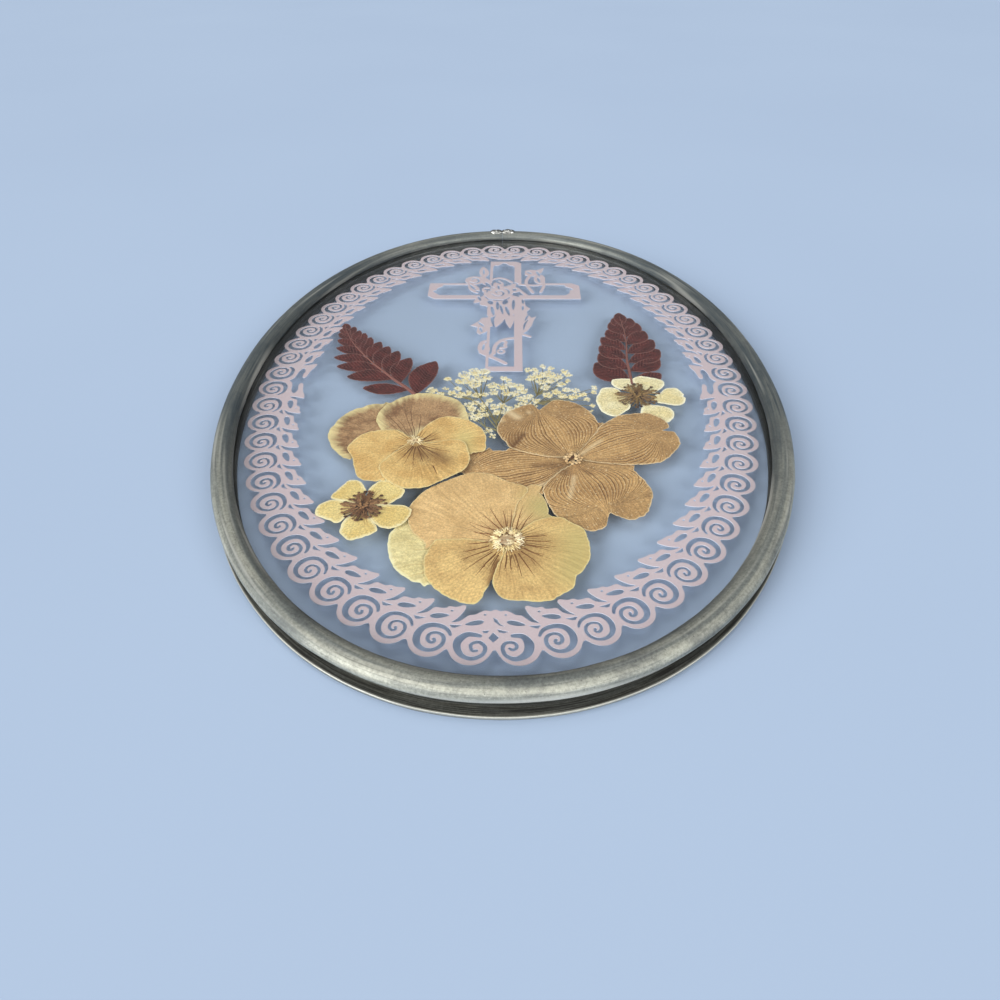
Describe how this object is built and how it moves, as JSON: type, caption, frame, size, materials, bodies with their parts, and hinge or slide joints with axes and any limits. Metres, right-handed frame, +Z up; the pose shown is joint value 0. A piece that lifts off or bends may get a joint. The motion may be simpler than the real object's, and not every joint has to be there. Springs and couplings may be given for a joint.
{
  "type": "pressed flower frame",
  "caption": "Flat oval sun-catcher: clear glass panes bound in round lead came, with pressed flowers, fern tips, a cut paper scroll border and a paper cross sealed between them.",
  "frame": {"origin": "centre of the oval on the surface that the back of the came rests on", "axes": "+Y along the oval's length towards its head, +Z up out of the front pane"},
  "size_m": [0.1998, 0.274, 0.0127],
  "materials": {
    "came": "dull weathered lead, with fine lines drawn along it and rubbed bright on its crest",
    "solder": "bright tin-lead solder with a dark seam",
    "glass": "clear and polished",
    "paper": "matte mauve-grey paper",
    "frond": "dry dark red-brown leaf with paler ribs",
    "lace": "dry cream florets on grey-green stalks",
    "pansy_petal": "dry straw-coloured petal with brown veins",
    "browned_petal": "dry browned petal with a paler rim",
    "dogwood_bract": "dry tan bract with dark curved veins",
    "yellow_petal": "dry pale yellow petal",
    "stamen": "dry dark brown"
  },
  "bodies": {
    "root": {"came": "came", "solder_joint_top": "solder", "glass_back": "glass", "glass_front": "glass", "paper_border": "paper", "paper_cross": "paper", "fern_left": "frond", "fern_right": "frond", "lace_upper_left": "lace", "lace_far_left": "lace", "lace_middle_left": "lace", "lace_low_left": "lace", "lace_upper_middle": "lace", "lace_low_middle": "lace", "lace_upper_right": "lace", "lace_far_right": "lace", "lace_middle_right": "lace", "lace_stem": "lace", "pansy_small_petal_left": "pansy_petal", "pansy_small_petal_right": "pansy_petal", "pansy_small_petal_foot": "pansy_petal", "pansy_big_petal_far_left": "pansy_petal", "pansy_big_petal_head": "pansy_petal", "pansy_big_petal_far_right": "pansy_petal", "pansy_big_petal_left": "pansy_petal", "pansy_big_petal_right": "pansy_petal", "pansy_big_throat": "pansy_petal", "pansy_small_petal_far_left": "browned_petal", "pansy_small_petal_head": "browned_petal", "dogwood_bract_left": "dogwood_bract", "dogwood_bract_head": "dogwood_bract", "dogwood_bract_right": "dogwood_bract", "dogwood_bract_foot": "dogwood_bract", "dogwood_boss": "dogwood_bract", "cinquefoil_left_petal_upper_left": "yellow_petal", "cinquefoil_left_petal_upper_right": "yellow_petal", "cinquefoil_left_petal_right": "yellow_petal", "cinquefoil_left_petal_foot": "yellow_petal", "cinquefoil_left_petal_left": "yellow_petal", "cinquefoil_right_petal_head_left": "yellow_petal", "cinquefoil_right_petal_head_right": "yellow_petal", "cinquefoil_right_petal_right": "yellow_petal", "cinquefoil_right_petal_foot": "yellow_petal", "cinquefoil_right_petal_left": "yellow_petal", "cinquefoil_left_stamens": "stamen", "cinquefoil_right_stamens": "stamen"}
  },
  "joints": []
}
